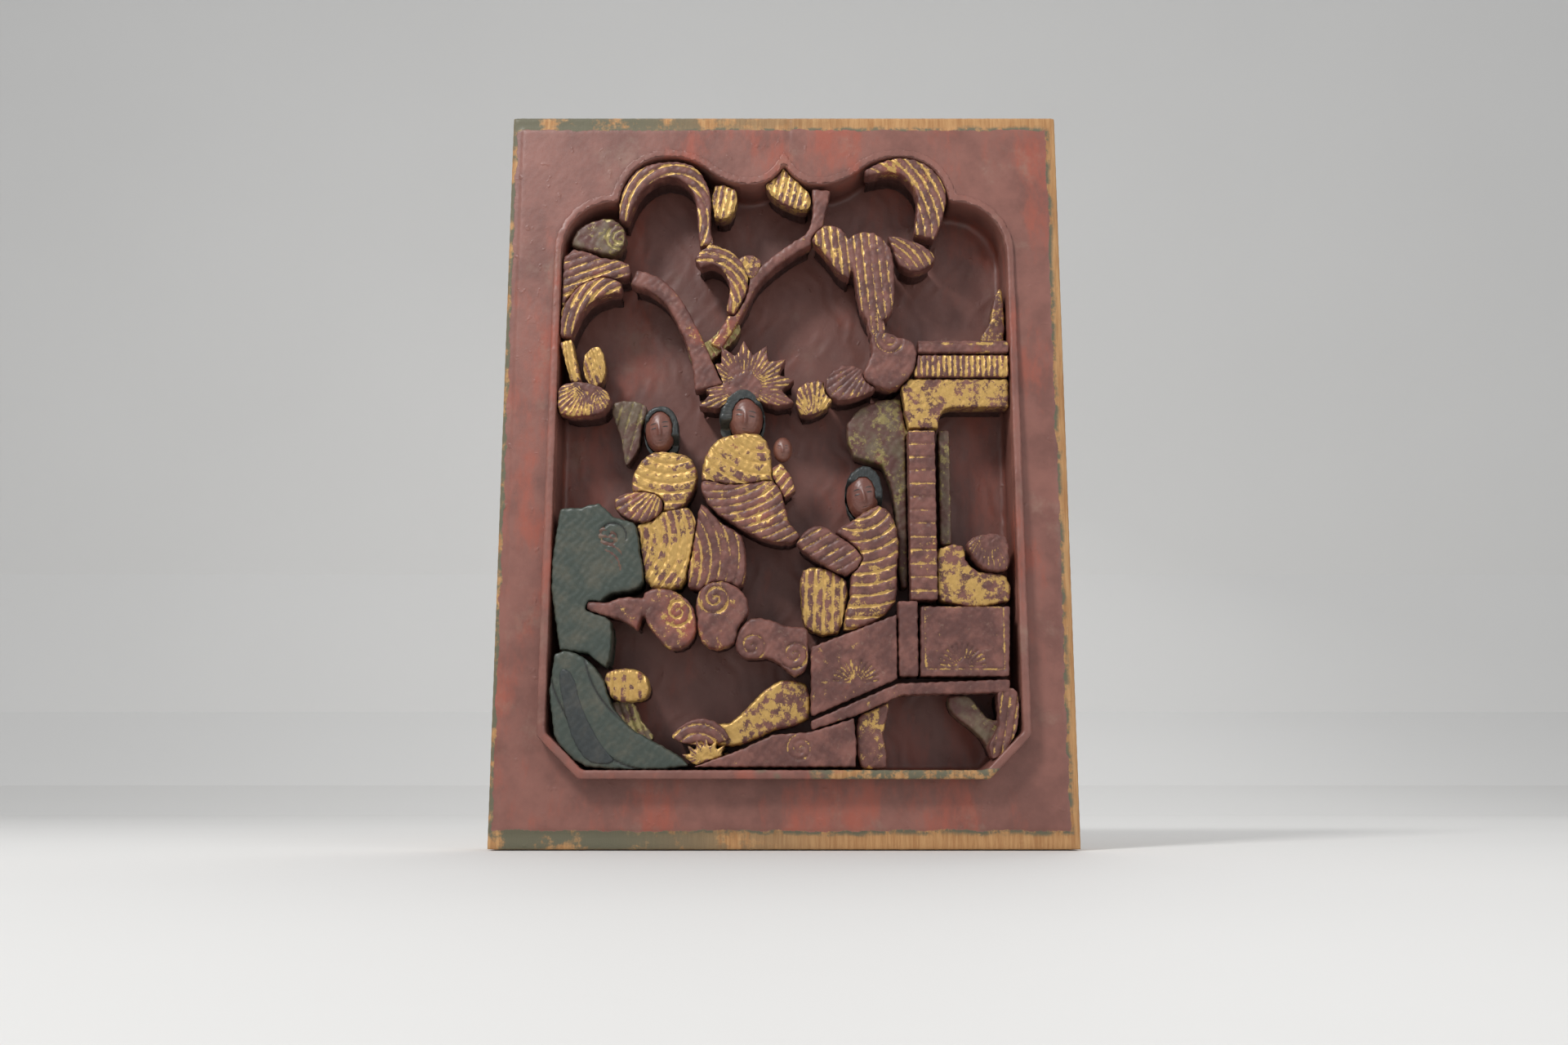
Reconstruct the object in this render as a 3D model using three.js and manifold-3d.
// A carved wooden panel, lacquered and gilded: a thick board with an arched niche full of deep relief.
// Millimetres, +Z up. The panel stands on its bottom edge and its carved face looks along -Y.
import * as THREE from "three";
import { mergeVertices } from "three/addons/utils/BufferGeometryUtils.js";
import Module from "manifold-3d";

// Driving dimensions of the board
const BOARD_WIDE = 220;
const BOARD_TALL = 291;
const BOARD_THICK = 28;
const TONGUE_STEP = 0.8;
const TONGUE_TOP = 6;
const TONGUE_SIDE = 4;
const TONGUE_BOTTOM = 7;

// The niche and its raised rim
const NICHE_DEEP = 20;
const NICHE_HALF_WIDE = 88.5;
const NICHE_FLOOR = 29;
const NICHE_CHAMFER = 14;
const ARCH_SPRING = 232;
const ARCH_SHOULDER = 254.5;
const ARCH_LOBE = 273.5;
const ARCH_VALLEY = 261.5;
const ARCH_PEAK = 270.5;
const RIM_WIDE = 3.4;

// How far the carved block stands in front of the border, at its foot and under the arch
const PROUD_FOOT = 8;
const PROUD_ARCH = 0.6;

// Clearance between pieces that touch
const SEAT = 0.3;

// Finishes
const lacquer = { color: 0x6e3a30, roughness: 0.45, metalness: 0 };
const gilt = { color: 0xb98a35, roughness: 0.4, metalness: 0.6 };
const moss = { color: 0x7a6b3c, roughness: 0.6, metalness: 0.1 };
const rock = { color: 0x39443a, roughness: 0.5, metalness: 0 };
const hair = { color: 0x2f3638, roughness: 0.5, metalness: 0 };
const skin = { color: 0x7d4030, roughness: 0.25, metalness: 0 };

const wasm = await Module();
wasm.setup();

// Depth of the carved face at a height, measured from the border plane, minus towards the viewer
function faceAt(z) {
  const share = THREE.MathUtils.clamp((z - NICHE_FLOOR) / (ARCH_VALLEY - NICHE_FLOOR), 0, 1);
  return -THREE.MathUtils.lerp(PROUD_FOOT, PROUD_ARCH, share);
}

// A closed three.js geometry as a solid that can be cut and joined
function solidOf(geometry) {
  const bare = geometry.index ? geometry.toNonIndexed() : geometry.clone();
  bare.deleteAttribute("normal");
  bare.deleteAttribute("uv");
  const merged = mergeVertices(bare, 1e-4);
  return new wasm.Manifold(
    new wasm.Mesh({
      numProp: 3,
      vertProperties: merged.attributes.position.array,
      triVerts: new Uint32Array(merged.index.array),
    }),
  );
}

// A solid back to a three.js geometry
function geometryOf(solid) {
  const mesh = solid.getMesh();
  const geometry = new THREE.BufferGeometry();
  geometry.setAttribute("position", new THREE.BufferAttribute(new Float32Array(mesh.vertProperties), 3));
  geometry.setIndex(new THREE.BufferAttribute(new Uint32Array(mesh.triVerts), 1));
  geometry.computeVertexNormals();
  return geometry;
}

// The largest of the bodies that a cut leaves
function largest(solid) {
  const bodies = solid.decompose();
  return bodies.reduce((best, body) => (body.volume() > best.volume() ? body : best), bodies[0]);
}

// An outline in (x, z), counter-clockwise, moved outwards by a distance along its corners' normals
function grown(outline, distance) {
  return outline.map((point, i) => {
    const before = outline[(i + outline.length - 1) % outline.length];
    const after = outline[(i + 1) % outline.length];
    const into = point.clone().sub(before).normalize();
    const out = after.clone().sub(point).normalize();
    const normal = new THREE.Vector2(into.y + out.y, -into.x - out.x).normalize();
    const miter = Math.max(0.6, normal.x * into.y - normal.y * into.x);
    return point.clone().addScaledVector(normal, distance / miter);
  });
}

// Points as an outline that runs counter-clockwise
function ordered(points) {
  return THREE.ShapeUtils.isClockWise(points) ? points.reverse() : points;
}

// An outline with straight sides
function straight(corners) {
  return ordered(corners.map(([x, z]) => new THREE.Vector2(x, z)));
}

// A closed smooth outline through its points
function curved(corners) {
  const through = corners.map(([x, z]) => new THREE.Vector3(x, z, 0));
  const curve = new THREE.CatmullRomCurve3(through, true, "centripetal");
  const points = curve.getPoints(corners.length * 2).slice(0, -1);
  return ordered(points.map((p) => new THREE.Vector2(p.x, p.y)));
}

// A rectangle from its lowest to its highest corner
function bar(x0, z0, x1, z1) {
  return straight([[x0, z0], [x1, z0], [x1, z1], [x0, z1]]);
}

// A stroke that swells and narrows along a smooth line: each point is x, z and full width
function ribbon(stations) {
  const line = new THREE.SplineCurve(stations.map(([x, z]) => new THREE.Vector2(x, z)));
  const steps = (stations.length - 1) * 3;
  const left = [];
  const right = [];
  for (let i = 0; i <= steps; i += 1) {
    const along = (i / steps) * (stations.length - 1);
    const low = Math.min(Math.floor(along), stations.length - 2);
    const half = THREE.MathUtils.lerp(stations[low][2], stations[low + 1][2], along - low) / 2;
    const at = line.getPoint(i / steps);
    const ahead = line.getTangent(i / steps);
    left.push(new THREE.Vector2(at.x - ahead.y * half, at.y + ahead.x * half));
    right.push(new THREE.Vector2(at.x + ahead.y * half, at.y - ahead.x * half));
  }
  return ordered([...left, ...right.reverse()]);
}

// Pointed leaves spread from a centre between two angles in degrees
function fan({ x, z, from, to, leaves, short, long }) {
  const points = [new THREE.Vector2(x, z - short * 0.25)];
  for (let i = 0; i < leaves * 2 + 1; i += 1) {
    const turn = THREE.MathUtils.degToRad(from + ((to - from) * i) / (leaves * 2));
    const reach = i % 2 ? long : short;
    points.push(new THREE.Vector2(x + reach * Math.cos(turn), z + reach * Math.sin(turn)));
  }
  return ordered(points);
}

// A block with an outline in (x, z), between a front and a back depth, its front edge rounded over
function block(outline, front, back, round) {
  const shape = new THREE.Shape(outline);
  const geometry = new THREE.ExtrudeGeometry(shape, {
    depth: back - front - round,
    bevelEnabled: round > 0,
    bevelThickness: round,
    bevelSize: round * 0.8,
    bevelOffset: -round * 0.8,
    bevelSegments: 2,
    curveSegments: 6,
  });
  geometry.rotateX(Math.PI / 2);
  geometry.translate(0, back, 0);
  return solidOf(geometry);
}

// Half of the niche's outline, from the peak of the arch down its right side to the middle of its foot
function nicheHalf() {
  const path = new THREE.Path();
  path.moveTo(0, ARCH_PEAK);
  path.bezierCurveTo(2.5, ARCH_VALLEY + 4, 7, ARCH_VALLEY, 14, ARCH_VALLEY);
  path.bezierCurveTo(22, ARCH_VALLEY, 28, ARCH_VALLEY + 4, 32, ARCH_LOBE - 4.5);
  path.bezierCurveTo(37, ARCH_LOBE - 1, 42, ARCH_LOBE, 47, ARCH_LOBE);
  path.bezierCurveTo(58, ARCH_LOBE, 65, ARCH_LOBE - 8, 66.5, ARCH_SHOULDER);
  path.bezierCurveTo(78, ARCH_SHOULDER, NICHE_HALF_WIDE, 247, NICHE_HALF_WIDE, ARCH_SPRING);
  path.lineTo(NICHE_HALF_WIDE, NICHE_FLOOR + NICHE_CHAMFER);
  path.lineTo(NICHE_HALF_WIDE - NICHE_CHAMFER, NICHE_FLOOR);
  return path.getPoints(6);
}

// The whole outline: the half and its mirror image
function nicheOutline() {
  const half = nicheHalf();
  const mirrored = half.slice(1).reverse().map((p) => new THREE.Vector2(-p.x, p.y));
  return ordered([...half, ...mirrored]);
}

const panel = new THREE.Group();
const niche = nicheOutline();
const nicheSpace = block(grown(niche, -SEAT), -60, NICHE_DEEP - SEAT, 0);
const placed = [];

// Adds a solid to the panel as a named mesh
function addMesh(name, solid, finish) {
  const mesh = new THREE.Mesh(geometryOf(solid), new THREE.MeshStandardMaterial(finish));
  mesh.name = name;
  panel.add(mesh);
}

// Cuts a solid clear of the pieces already placed, adds it and keeps its clearance for the next ones
function place(name, solid, clearance, finish) {
  let left = solid.intersect(nicheSpace);
  for (const other of placed) left = left.subtract(other);
  addMesh(name, largest(left), finish);
  placed.push(clearance);
}

// A piece of relief from the ground of the niche to a face that lies an inset behind the carved face
function carve(name, outlines, { finish, inset, round }) {
  const corners = outlines.flat();
  const middle = corners.reduce((sum, p) => sum + p.y, 0) / corners.length;
  const front = faceAt(middle) + inset;
  const below = NICHE_DEEP + 3;
  const joined = (extra) =>
    outlines
      .map((outline) => block(grown(outline, extra), front - extra, below, round))
      .reduce((whole, next) => whole.add(next));
  place(name, joined(0), joined(SEAT), finish);
}

// An egg-shaped head, its front an inset behind the carved face
function head(name, { x, z, wide, tall, inset }) {
  const deep = wide * 1.05;
  const egg = (extra) => {
    const geometry = new THREE.SphereGeometry(1, 20, 14);
    geometry.scale(wide / 2 + extra, deep / 2 + extra, tall / 2 + extra);
    geometry.translate(x, faceAt(z) + inset + deep / 2, z);
    return solidOf(geometry);
  };
  place(name, egg(0), egg(SEAT), skin);
}

// The board: bare tongue edges behind a lacquered field, with the niche sunk into it
function board() {
  const body = block(
    bar(-BOARD_WIDE / 2, 0, BOARD_WIDE / 2, BOARD_TALL),
    TONGUE_STEP,
    BOARD_THICK,
    0,
  );
  const field = block(
    bar(
      -BOARD_WIDE / 2 + TONGUE_SIDE,
      TONGUE_BOTTOM,
      BOARD_WIDE / 2 - TONGUE_SIDE,
      BOARD_TALL - TONGUE_TOP,
    ),
    0,
    BOARD_THICK / 2,
    0,
  );
  return body.add(field).subtract(block(niche, -60, NICHE_DEEP, 0));
}

// The raised rim round the niche, whose height fades towards the arch
function rim() {
  const outer = grown(niche, RIM_WIDE);
  const ring = block(outer, -PROUD_FOOT - 1, -SEAT, 0).subtract(block(niche, -60, 60, 0));
  const slope = new THREE.Shape([
    new THREE.Vector2(-60, -10),
    new THREE.Vector2(faceAt(-10), -10),
    new THREE.Vector2(faceAt(NICHE_FLOOR), NICHE_FLOOR),
    new THREE.Vector2(faceAt(ARCH_VALLEY), ARCH_VALLEY),
    new THREE.Vector2(faceAt(BOARD_TALL), BOARD_TALL + 10),
    new THREE.Vector2(-60, BOARD_TALL + 10),
  ]);
  const cutter = new THREE.ExtrudeGeometry(slope, { depth: BOARD_WIDE, bevelEnabled: false });
  const turn = new THREE.Matrix4().makeBasis(
    new THREE.Vector3(0, 1, 0),
    new THREE.Vector3(0, 0, 1),
    new THREE.Vector3(1, 0, 0),
  );
  cutter.applyMatrix4(turn);
  cutter.translate(-BOARD_WIDE / 2, 0, 0);
  return ring.subtract(solidOf(cutter));
}

addMesh("board", board(), lacquer);
addMesh("niche_rim", rim(), lacquer);

// Heads first, then the relief from the foremost pieces back: each later piece is cut clear of them
head("head_centre", { x: -15, z: 165, wide: 13.5, tall: 19, inset: 1 });
head("infant_head", { x: -0.5, z: 152, wide: 7.5, tall: 10, inset: 1.5 });
head("head_left", { x: -48.5, z: 160.5, wide: 12, tall: 18, inset: 2.5 });
head("head_right", { x: 30.5, z: 134, wide: 12.5, tall: 19, inset: 1.5 });

carve(
  "frond_right",
  [
    ribbon([
      [32.5, 266.5, 2.5], [43, 270, 5.5], [52.5, 268, 10.5], [59, 259.5, 12.5],
      [58.5, 249, 11], [56, 239.5, 8.5],
    ]),
  ],
  { finish: gilt, inset: 0.5, round: 1.2 },
);
carve(
  "tuft_long",
  [
    curved([
      [26.5, 239.5], [36, 241], [42.5, 234.5], [44, 221.5], [43, 208], [39, 204], [34, 202.5],
      [30, 209.5], [28, 221.5],
    ]),
    curved([
      [11, 238], [16, 244], [22.5, 243], [26, 237.5], [26, 222], [21, 225], [18, 229.5],
      [14, 234.5],
    ]),
  ],
  { finish: gilt, inset: 0.5, round: 1.2 },
);
carve(
  "sleeve_centre",
  [
    curved([
      [-32, 139], [-22.5, 137.5], [-12, 138], [-4.5, 139], [-0.5, 133], [2, 122.5], [6.5, 117],
      [2, 114.5], [-8.5, 116], [-20, 122.5], [-29.5, 130],
    ]),
  ],
  { finish: lacquer, inset: 0.5, round: 1.6 },
);
carve(
  "eave_scroll",
  [
    curved([
      [31, 182.5], [34.5, 190.5], [34, 197.5], [39, 199.5], [45, 197], [51, 195], [51.5, 185],
      [44.5, 176.5], [39, 176], [32.5, 179],
    ]),
  ],
  { finish: gilt, inset: 0.5, round: 1.2 },
);
carve("roof_ridge", [bar(52.5, 190.5, 88.5, 195.5)], { finish: lacquer, inset: 0.5, round: 0.6 });
carve("railing_post", [bar(43, 63.5, 50.5, 92)], { finish: lacquer, inset: 0.5, round: 0.6 });
carve(
  "rock_lower",
  [
    curved([
      [-86, 72], [-78.5, 72.5], [-71, 67], [-67, 61], [-64, 52], [-56.5, 44], [-45.5, 38],
      [-35, 30.5], [-73, 30], [-81.5, 36], [-85.5, 42],
    ]),
  ],
  { finish: rock, inset: 0.5, round: 1.2 },
);
carve(
  "cloud_left",
  [
    curved([
      [-53, 95], [-46.5, 97], [-39, 94.5], [-34, 89], [-33, 81], [-36, 75.5], [-43, 73.5],
      [-48, 78.5], [-52, 84],
    ]),
    ribbon([
      [-74.5, 90.5, 3], [-67.5, 89, 5], [-60, 89, 9.5], [-53.5, 87, 12.5],
    ]),
  ],
  { finish: lacquer, inset: 0.5, round: 1.4 },
);
carve(
  "cloud_middle",
  [
    curved([
      [-32.5, 95.5], [-27, 99.5], [-19.5, 98.5], [-14, 93], [-13.5, 87], [-17, 82.5],
      [-18.5, 76.5], [-25.5, 73.5], [-31, 76.5], [-33, 84.5],
    ]),
  ],
  { finish: lacquer, inset: 0.5, round: 1.4 },
);
carve(
  "frond_left",
  [
    ribbon([
      [-64.5, 246.5, 3.5], [-62.5, 256.5, 6.5], [-57, 265, 8], [-48, 268.5, 6.5],
      [-38.5, 266.5, 8], [-33, 258, 6.5], [-32, 244.5, 5], [-31, 236, 6],
    ]),
  ],
  { finish: gilt, inset: 1, round: 1.2 },
);
carve(
  "frond_middle",
  [
    ribbon([
      [-34.5, 228, 4.5], [-29.5, 231.5, 8], [-23, 229.5, 8.5], [-18.5, 223, 8.5],
      [-18.5, 216, 6.5], [-21.5, 207.5, 3.5],
    ]),
  ],
  { finish: gilt, inset: 1, round: 1.2 },
);
carve(
  "frond_low",
  [
    ribbon([
      [-86.5, 197.5, 5], [-84.5, 207, 8], [-79, 215, 8.5], [-71.5, 218.5, 8],
      [-64.5, 217.5, 4],
    ]),
  ],
  { finish: gilt, inset: 1, round: 1.2 },
);
carve(
  "shell_leaf_left",
  [
    curved([
      [-88, 176.5], [-80.5, 179], [-72, 177], [-67.5, 172.5], [-70, 167], [-77.5, 165],
      [-87.5, 166],
    ]),
  ],
  { finish: gilt, inset: 1, round: 1.2 },
);
carve(
  "sleeve_right",
  [
    curved([
      [4.5, 114.5], [8.5, 119.5], [14, 121.5], [19, 118.5], [25, 114.5], [30, 108.5],
      [24, 102], [17, 105], [11, 108.5],
    ]),
  ],
  { finish: lacquer, inset: 1, round: 1.4 },
);
carve(
  "railing_right",
  [
    straight([
      [51.5, 90], [85.5, 90], [84.5, 63.5], [51, 63.5],
    ]),
  ],
  { finish: lacquer, inset: 1, round: 0.5 },
);
carve(
  "railing_left",
  [
    straight([
      [10, 74.5], [42.5, 87], [42.5, 62.5], [10, 48.5],
    ]),
  ],
  { finish: lacquer, inset: 1, round: 0.5 },
);
carve(
  "rock_upper",
  [
    curved([
      [-86, 127.5], [-78.5, 128], [-71, 130], [-65, 124.5], [-57, 122], [-55, 111],
      [-53.5, 99.5], [-58, 96], [-65.5, 95], [-70.5, 89.5], [-65.5, 84.5], [-65, 75.5],
      [-67, 67], [-74.5, 72.5], [-84.5, 73.5],
    ]),
  ],
  { finish: rock, inset: 1, round: 1.2 },
);
carve(
  "cloud_right",
  [
    curved([
      [-17.5, 80], [-12.5, 85.5], [-5.5, 85], [1, 82.5], [9, 81.5], [9, 75.5], [8.5, 66.5],
      [4, 63.5], [-1.5, 68], [-7, 70.5], [-14.5, 70], [-18, 73.5],
    ]),
  ],
  { finish: lacquer, inset: 1, round: 1.4 },
);
carve(
  "tuft_right",
  [
    curved([
      [41.5, 240], [49.5, 238.5], [56.5, 235.5], [60.5, 231], [58.5, 227.5], [52, 225],
      [46, 227.5], [43.5, 234],
    ]),
  ],
  { finish: gilt, inset: 1.5, round: 1.0 },
);
carve(
  "fan_left",
  [
    curved([
      [-65, 132], [-59, 134.5], [-50, 134], [-46.5, 130.5], [-48.5, 125.5], [-54.5, 122.5],
      [-61, 124.5], [-65, 128],
    ]),
  ],
  { finish: lacquer, inset: 1.5, round: 1.0 },
);
carve("roof_tiles", [bar(51, 181, 88.5, 190)], { finish: gilt, inset: 1.5, round: 0.6 });
carve("column", [bar(48, 92.5, 58.5, 159)], { finish: lacquer, inset: 1.5, round: 0.6 });
carve(
  "bridge_deck",
  [
    straight([
      [10, 47], [42.5, 61], [84.5, 62.5], [84.5, 57.5], [44, 56.5], [27, 49], [10, 43.5],
    ]),
  ],
  { finish: lacquer, inset: 1.5, round: 0.5 },
);
carve(
  "bank",
  [
    straight([
      [-34, 30], [-16, 36.5], [-4, 42], [10, 43], [26, 48], [27, 38.5], [26.5, 30],
    ]),
  ],
  { finish: lacquer, inset: 1.5, round: 0.6 },
);
carve(
  "tree_trunk",
  [
    ribbon([
      [-29.5, 177, 11.5], [-33, 189.5, 7.5], [-38, 201.5, 6.5], [-44, 212.5, 6.5],
      [-51.5, 219.5, 7], [-60, 222.5, 7],
    ]),
  ],
  { finish: lacquer, inset: 2, round: 1.4 },
);
carve(
  "leaf_top_centre",
  [
    curved([
      [-7.5, 262], [-0.5, 269.5], [7, 262], [11, 257], [9.5, 251.5], [2.5, 253], [-4.5, 257],
    ]),
  ],
  { finish: gilt, inset: 2, round: 0.8 },
);
carve(
  "leaf_crown",
  [
    curved([
      [-90, 227], [-84, 234.5], [-73, 231], [-62, 228.5], [-61.5, 223], [-69.5, 222],
      [-77.5, 221], [-84, 215.5], [-88.5, 207.5],
    ]),
  ],
  { finish: lacquer, inset: 2, round: 1.2 },
);
carve(
  "hanging_stem",
  [
    ribbon([
      [-86, 196, 5], [-84, 188, 4.5], [-81.5, 179, 4],
    ]),
  ],
  { finish: gilt, inset: 2, round: 0.8 },
);
carve(
  "robe_centre",
  [
    curved([
      [-21, 157.5], [-9.5, 158], [-5, 151], [-4.5, 140.5], [-2, 135.5], [-4, 122.5],
      [-18, 119.5], [-28.5, 127.5], [-32, 138.5], [-30.5, 149.5], [-26, 155.5],
    ]),
  ],
  { finish: gilt, inset: 2, round: 2.0 },
);
carve(
  "robe_right",
  [
    curved([
      [26, 123.5], [36.5, 129.5], [41.5, 125.5], [44, 115], [43, 103.5], [42.5, 92],
      [33, 83.5], [22.5, 81], [25, 94], [25.5, 103.5], [29, 110], [24, 116], [19, 118.5],
    ]),
  ],
  { finish: gilt, inset: 2, round: 2.0 },
);
carve(
  "shell_leaf_right",
  [
    curved([
      [16.5, 180.5], [23, 186], [32.5, 183.5], [37.5, 178], [31, 173.5], [21, 171.5],
      [16.5, 175],
    ]),
  ],
  { finish: lacquer, inset: 2, round: 1.0 },
);
carve(
  "shell_cushion",
  [
    curved([
      [70, 115], [75.5, 118], [85, 117.5], [86, 111], [85.5, 104.5], [78, 104], [72.5, 108.5],
    ]),
  ],
  { finish: lacquer, inset: 2, round: 1.2 },
);
carve(
  "gilt_stub",
  [
    curved([
      [-67, 64.5], [-62.5, 66.5], [-54.5, 66], [-50.5, 61.5], [-51, 56], [-56.5, 54],
      [-64, 55], [-67, 59.5],
    ]),
  ],
  { finish: gilt, inset: 2, round: 1.6 },
);
carve(
  "branch_right",
  [
    ribbon([
      [-27, 194, 4.5], [-19, 207.5, 5], [-13, 220, 5], [-5.5, 228, 4.5], [3.5, 235, 4.5],
      [11.5, 240.5, 5.5], [14, 249.5, 5], [15, 260, 8],
    ]),
  ],
  { finish: lacquer, inset: 2.5, round: 1.0 },
);
carve(
  "infant_body",
  [
    ribbon([
      [-4.5, 144.5, 8], [-1, 138.5, 9.5], [2.5, 134, 5],
    ]),
  ],
  { finish: lacquer, inset: 2.5, round: 1.0 },
);
carve(
  "leaf_top_left",
  [
    curved([
      [-28, 262.5], [-19.5, 260.5], [-19, 255.5], [-21.5, 249], [-28, 248.5],
    ]),
  ],
  { finish: gilt, inset: 3, round: 0.8 },
);
carve("halo_fan", [fan({ x: -15, z: 176.5, from: -30, to: 215, leaves: 9, short: 14, long: 20 })], { finish: gilt, inset: 3, round: 0.8 });
carve(
  "hair_centre",
  [
    curved([
      [-25, 160.5], [-24.5, 170.5], [-20.5, 175.5], [-15.5, 177.5], [-10.5, 174.5],
      [-7.5, 167], [-8, 159], [-15, 154], [-21.5, 155.5],
    ]),
  ],
  { finish: hair, inset: 3, round: 1.6 },
);
carve(
  "skirt_centre",
  [
    curved([
      [-32, 130.5], [-23, 122.5], [-16, 117.5], [-14.5, 107], [-15.5, 98.5], [-26, 96.5],
      [-36.5, 97.5], [-35.5, 110], [-33.5, 122.5],
    ]),
  ],
  { finish: lacquer, inset: 3, round: 1.8 },
);
carve(
  "robe_left",
  [
    curved([
      [-52, 150.5], [-43.5, 151], [-36, 148.5], [-33.5, 141], [-36, 133.5], [-41.5, 127.5],
      [-51.5, 128.5], [-58.5, 134.5], [-58, 143.5],
    ]),
  ],
  { finish: gilt, inset: 3, round: 2.0 },
);
carve(
  "hair_right",
  [
    curved([
      [23.5, 134.5], [25.5, 142], [30.5, 145.5], [35.5, 143.5], [38, 137], [37.5, 129],
      [31.5, 123.5], [25.5, 126.5],
    ]),
  ],
  { finish: hair, inset: 3, round: 1.4 },
);
carve("grass", [fan({ x: -29, z: 30.5, from: 15, to: 165, leaves: 7, short: 6.5, long: 11 })], { finish: gilt, inset: 3, round: 0.6 });
carve(
  "skirt_left",
  [
    curved([
      [-51.5, 126], [-37, 129], [-33.5, 122.5], [-36, 107], [-39, 98], [-50.5, 97.5],
      [-56, 107], [-57.5, 121],
    ]),
  ],
  { finish: gilt, inset: 3.5, round: 1.8 },
);
carve(
  "shell_leaf_middle",
  [
    curved([
      [5, 176.5], [13.5, 180.5], [20.5, 176], [16.5, 168.5], [6.5, 166],
    ]),
  ],
  { finish: gilt, inset: 3.5, round: 1.0 },
);
carve(
  "door_lintel",
  [
    straight([
      [45.5, 180.5], [88, 180.5], [88, 169], [65.5, 169], [62.5, 168], [60.5, 164.5],
      [60, 160.5], [48.5, 160.5], [47, 168.5],
    ]),
  ],
  { finish: gilt, inset: 3.5, round: 0.6 },
);
carve(
  "leaf_scroll",
  [
    curved([
      [-85.5, 237], [-83, 244], [-76.5, 247.5], [-69.5, 248.5], [-64.5, 244.5], [-64, 237.5],
      [-68.5, 233], [-74, 233.5], [-81, 235.5],
    ]),
  ],
  { finish: moss, inset: 4, round: 1.2 },
);
carve(
  "hair_left",
  [
    curved([
      [-55, 162], [-53, 168], [-47.5, 170], [-43, 167.5], [-41, 160.5], [-42, 153], [-48, 149],
      [-54, 154],
    ]),
  ],
  { finish: hair, inset: 4, round: 1.4 },
);
carve(
  "skirt_right",
  [
    curved([
      [7, 104.5], [14.5, 105.5], [24, 100.5], [23.5, 90], [20.5, 80], [8.5, 81.5], [6.5, 91.5],
    ]),
  ],
  { finish: gilt, inset: 5, round: 1.6 },
);
carve(
  "stool",
  [
    curved([
      [59.5, 113], [69, 114], [69.5, 109], [74, 104], [85, 102.5], [86, 92.5], [59.5, 92.5],
    ]),
  ],
  { finish: gilt, inset: 5, round: 0.8 },
);
carve(
  "bridge_pier",
  [
    curved([
      [27.5, 48], [31.5, 51.5], [39.5, 54], [37, 42], [38.5, 30], [28.5, 30],
    ]),
  ],
  { finish: gilt, inset: 5, round: 0.8 },
);
carve(
  "bridge_bracket",
  [
    curved([
      [62, 56.5], [70, 56.5], [77, 48], [84.5, 47], [84, 30.5], [78, 34.5], [74, 41], [68, 46],
      [63, 50.5],
    ]),
  ],
  { finish: moss, inset: 8, round: 1.0 },
);
carve(
  "ground_mound",
  [
    curved([
      [-34.5, 42.5], [-29, 46.5], [-20.5, 46.5], [-13, 53.5], [-2, 62.5], [8.5, 61], [9.5, 48],
      [-4, 43.5], [-16.5, 38], [-29.5, 38.5],
    ]),
  ],
  { finish: gilt, inset: 8, round: 1.4 },
);
carve(
  "rock_slab",
  [
    curved([
      [24.5, 163], [31.5, 171], [44, 174], [49, 172], [48, 98.5], [45, 98.5], [43.5, 124],
      [38.5, 146.5], [27.5, 150],
    ]),
  ],
  { finish: moss, inset: 9, round: 1.4 },
);
carve("door_jamb", [bar(60.5, 115, 65, 161)], { finish: moss, inset: 9, round: 0.4 });

// The origin is at the middle of the foot, half-way through the whole depth
panel.position.y = (PROUD_FOOT - BOARD_THICK) / 2;

export default panel;
